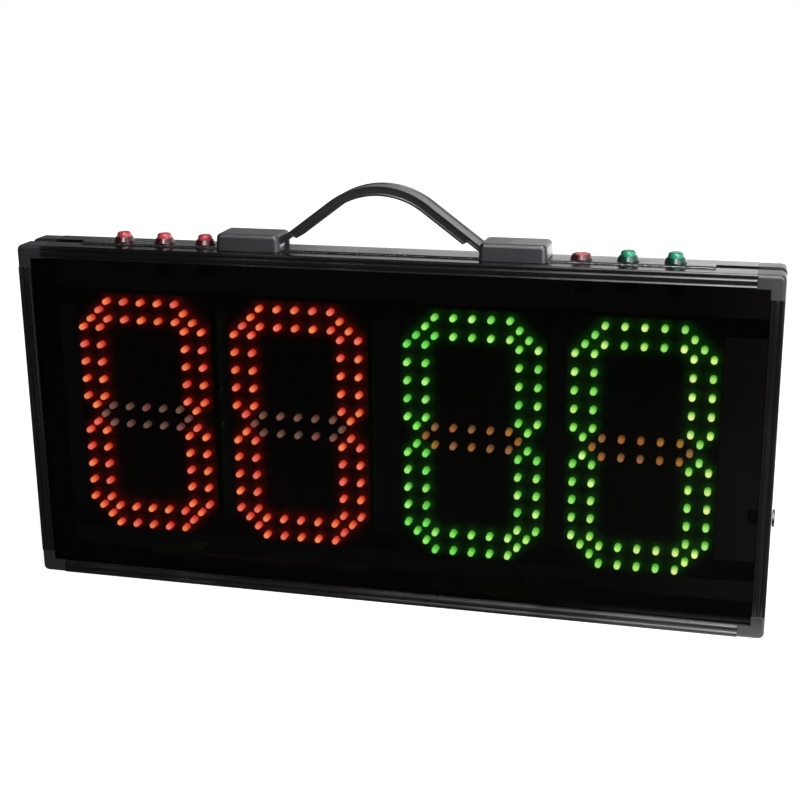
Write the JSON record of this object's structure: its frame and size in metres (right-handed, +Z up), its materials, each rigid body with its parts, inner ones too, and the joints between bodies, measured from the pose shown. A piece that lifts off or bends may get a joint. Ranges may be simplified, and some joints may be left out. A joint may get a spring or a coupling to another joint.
{
  "type": "substitution board",
  "caption": "Hand-held electronic substitution board: framed two-sided lamp display with push buttons and a carrying handle.",
  "frame": {"origin": "on the standing surface, under the middle of the frame's width and depth", "axes": "+X to the right seen from the front, -Y out of the front display, +Z up"},
  "size_m": [0.6273, 0.049, 0.3487],
  "materials": {
    "frame_black": "gloss black",
    "corner_plastic": "satin grey-black",
    "strip_metal": "satin dark grey",
    "tinted_panel": "gloss smoke tint",
    "red_lamps": "gloss, lit red",
    "green_lamps": "gloss, lit green",
    "circuit_board": "satin black",
    "bright_metal": "plated",
    "battery_wrap": "shrink wrap",
    "socket_black": "moulded black",
    "handle_black": "satin moulded black",
    "red_collar": "gloss dark red",
    "green_collar": "gloss dark green",
    "red_button": "gloss red",
    "green_button": "gloss green"
  },
  "bodies": {
    "board": {"top_rail": "frame_black", "bottom_rail": "frame_black", "left_rail": "frame_black", "right_rail": "frame_black", "corner_cap_top_left": "corner_plastic", "corner_cap_top_right": "corner_plastic", "corner_cap_bottom_left": "corner_plastic", "corner_cap_bottom_right": "corner_plastic", "switch_strip": "strip_metal", "front_panel": "tinted_panel", "rear_panel": "tinted_panel", "front_digit_board_1": "red_lamps", "front_digit_board_2": "red_lamps", "front_digit_board_3": "green_lamps", "front_digit_board_4": "green_lamps", "rear_digit_board_1": "circuit_board", "rear_digit_board_2": "circuit_board", "rear_digit_board_3": "circuit_board", "rear_digit_board_4": "circuit_board", "controller_board": "circuit_board", "upper_mounting_bar": "bright_metal", "lower_mounting_bar": "bright_metal", "battery_clip_left": "bright_metal", "battery_clip_right": "bright_metal", "charging_socket_nut": "bright_metal", "handle_base_left": "bright_metal", "handle_base_right": "bright_metal", "handle_nut_plate_left": "bright_metal", "handle_nut_plate_right": "bright_metal", "handle_screw_1": "bright_metal", "handle_screw_2": "bright_metal", "handle_screw_3": "bright_metal", "handle_screw_4": "bright_metal", "switch_nut_1": "bright_metal", "switch_nut_2": "bright_metal", "switch_nut_3": "bright_metal", "switch_nut_4": "bright_metal", "switch_nut_5": "bright_metal", "switch_nut_6": "bright_metal", "battery_pack": "battery_wrap", "charging_socket": "socket_black", "handle_strap": "handle_black", "handle_cover_left": "handle_black", "handle_cover_right": "handle_black", "switch_body_1": "red_collar", "switch_body_2": "red_collar", "switch_body_3": "red_collar", "switch_body_4": "red_collar", "switch_body_5": "green_collar", "switch_body_6": "green_collar"},
    "push_1": {"button_1": "red_button"},
    "push_2": {"button_2": "red_button"},
    "push_3": {"button_3": "red_button"},
    "push_4": {"button_4": "red_button"},
    "push_5": {"button_5": "green_button"},
    "push_6": {"button_6": "green_button"}
  },
  "joints": [
    {"name": "button_1_stroke", "type": "slide", "parent": "board", "child": "push_1", "axis": [0, 0, -1], "range_m": [0, 0.003], "stiffness_N_per_m": 400, "springref_m": -0.002},
    {"name": "button_2_stroke", "type": "slide", "parent": "board", "child": "push_2", "axis": [0, 0, -1], "range_m": [0, 0.003], "stiffness_N_per_m": 400, "springref_m": -0.002},
    {"name": "button_3_stroke", "type": "slide", "parent": "board", "child": "push_3", "axis": [0, 0, -1], "range_m": [0, 0.003], "stiffness_N_per_m": 400, "springref_m": -0.002},
    {"name": "power_button_stroke", "type": "slide", "parent": "board", "child": "push_4", "axis": [0, 0, 1], "range_m": [0, 0.0036]},
    {"name": "button_5_stroke", "type": "slide", "parent": "board", "child": "push_5", "axis": [0, 0, -1], "range_m": [0, 0.003], "stiffness_N_per_m": 400, "springref_m": -0.002},
    {"name": "button_6_stroke", "type": "slide", "parent": "board", "child": "push_6", "axis": [0, 0, -1], "range_m": [0, 0.003], "stiffness_N_per_m": 400, "springref_m": -0.002}
  ]
}
